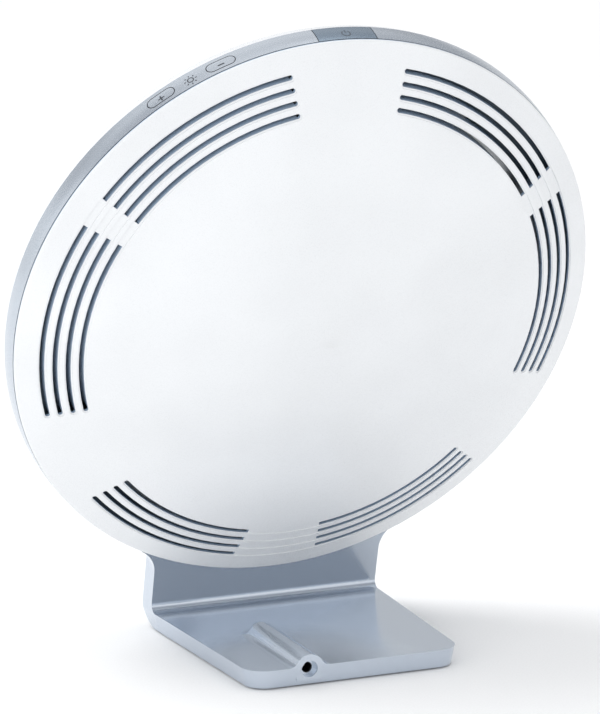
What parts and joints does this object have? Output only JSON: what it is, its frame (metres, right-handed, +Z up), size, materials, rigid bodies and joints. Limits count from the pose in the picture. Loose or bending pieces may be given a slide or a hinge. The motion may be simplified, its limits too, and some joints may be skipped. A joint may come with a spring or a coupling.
{
  "type": "light therapy lamp",
  "caption": "Round flat light therapy panel leaning on a bent plate stand, with vented domed rear cover, rim keys and a low-voltage power inlet.",
  "frame": {"origin": "on the table, in the middle of the lamp's width and depth", "axes": "+Z up, the lit face looks along -Y and leans back, +X is at the keys' brighter side, where the inlet is"},
  "size_m": [0.342, 0.1538, 0.3567],
  "materials": {
    "white_shell": "satin white moulding",
    "silver_trim": "satin silver-blue paint",
    "key_paint": "satin silver-blue paint, printed symbol",
    "stand_paint": "satin silver-blue metallic paint",
    "inner_white": "matte moulding",
    "opal": "opal diffuser sheet",
    "steel": "zinc plated",
    "sheet_aluminium": "mill finish",
    "board_white": "white solder mask",
    "board_green": "green solder mask",
    "package_yellow": "phosphor packages",
    "black_plastic": "matte black",
    "grey_nylon": "natural nylon",
    "capacitor_sleeve": "printed sleeve",
    "copper_winding": "enamelled winding",
    "nickel_contact": "plated contact",
    "lead_jacket": "soft black jacket",
    "foot_rubber": "matte rubber"
  },
  "bodies": {
    "lamp": {"rear_cover": "white_shell", "silver_band": "silver_trim", "front_bezel": "white_shell", "rim_frame": "inner_white", "stand_bracket": "steel", "diffuser": "opal", "reflector": "inner_white", "led_board": "board_white", "leds": "package_yellow", "heat_spreader": "sheet_aluminium", "driver_board": "board_green", "board_spacers": "grey_nylon", "inductor": "copper_winding", "capacitors": "capacitor_sleeve", "power_transistors": "black_plastic", "lead_connector": "grey_nylon", "power_switch": "black_plastic", "power_key_board": "board_green", "plus_switch": "black_plastic", "plus_key_board": "board_green", "minus_switch": "black_plastic", "minus_key_board": "board_green", "stand_shell": "stand_paint", "stand_cover": "stand_paint", "rubber_feet": "foot_rubber", "ballast_plates": "steel", "jack_body": "black_plastic", "jack_pin": "nickel_contact", "jack_tabs": "nickel_contact", "supply_lead": "lead_jacket", "cover_screws": "steel", "ear_screws": "steel", "board_screws": "steel", "stand_screws": "steel", "base_screws": "steel"},
    "power_button": {"power_key": "key_paint", "power_plunger": "black_plastic"},
    "plus_button": {"plus_key": "key_paint", "plus_plunger": "black_plastic"},
    "minus_button": {"minus_key": "key_paint", "minus_plunger": "black_plastic"}
  },
  "joints": [
    {"name": "power_press", "type": "slide", "parent": "lamp", "child": "power_button", "axis": [0, -0.3518, -0.9361], "range_m": [0, 0.0005], "stiffness_N_per_m": 800, "springref_m": -0.0015},
    {"name": "plus_press", "type": "slide", "parent": "lamp", "child": "plus_button", "axis": [-0.5892, -0.2843, -0.7563], "range_m": [0, 0.0005], "stiffness_N_per_m": 800, "springref_m": -0.0015},
    {"name": "minus_press", "type": "slide", "parent": "lamp", "child": "minus_button", "axis": [-0.4051, -0.3217, -0.8558], "range_m": [0, 0.0005], "stiffness_N_per_m": 800, "springref_m": -0.0015}
  ]
}
